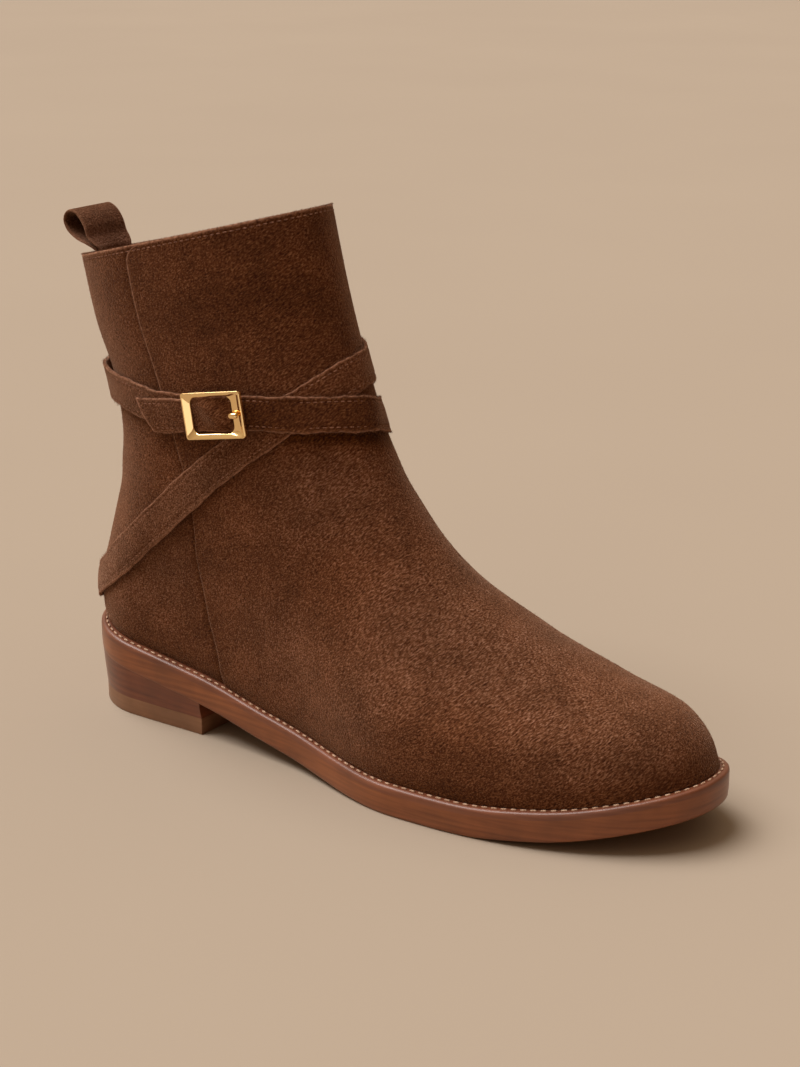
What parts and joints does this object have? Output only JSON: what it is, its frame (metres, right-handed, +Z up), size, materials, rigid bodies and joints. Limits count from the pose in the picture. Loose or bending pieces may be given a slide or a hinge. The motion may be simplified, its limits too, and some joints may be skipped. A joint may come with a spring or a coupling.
{
  "type": "ankle boot",
  "caption": "Right suede ankle boot with a low stacked heel, welted leather sole, wrapped straps with a square buckle, an inner side zip and a pull loop at the collar.",
  "frame": {"origin": "middle of the boot's bounding box in plan, on the floor it stands on", "axes": "+X towards the toe, +Y towards the inner side with the zip, +Z up"},
  "size_m": [0.2902, 0.089, 0.2051],
  "materials": {
    "sole_leather": "burnished edge, satin",
    "welt_leather": "waxed, satin",
    "insole_leather": "smooth, matt",
    "heel_leather": "stacked lifts, satin",
    "heel_rubber": "matt",
    "upper_suede": "suede nap",
    "strap_suede": "suede nap with raw edges",
    "loop_leather": "smooth, matt",
    "buckle_brass": "polished",
    "zip_tape": "coil zip, woven tape",
    "zip_metal": "dark nickel, satin"
  },
  "bodies": {
    "boot": {"outsole": "sole_leather", "welt": "welt_leather", "insole": "insole_leather", "heel_stack": "heel_leather", "heel_top_piece": "heel_rubber", "upper": "upper_suede", "zip_chain": "zip_tape", "strap_diagonal": "strap_suede", "strap_front": "strap_suede", "strap_back": "strap_suede", "buckle_frame": "buckle_brass", "buckle_prong": "buckle_brass", "pull_loop": "loop_leather", "zip_slider": "zip_metal"},
    "zip_pull": {"zip_pull": "zip_metal"}
  },
  "joints": [
    {"name": "zip_pull_hinge", "type": "hinge", "parent": "boot", "child": "zip_pull", "pos_m": [-0.07343, 0.03773, 0.18676], "axis": [0.9693, -0.0594, 0.2387], "range_deg": [0, 165]}
  ]
}
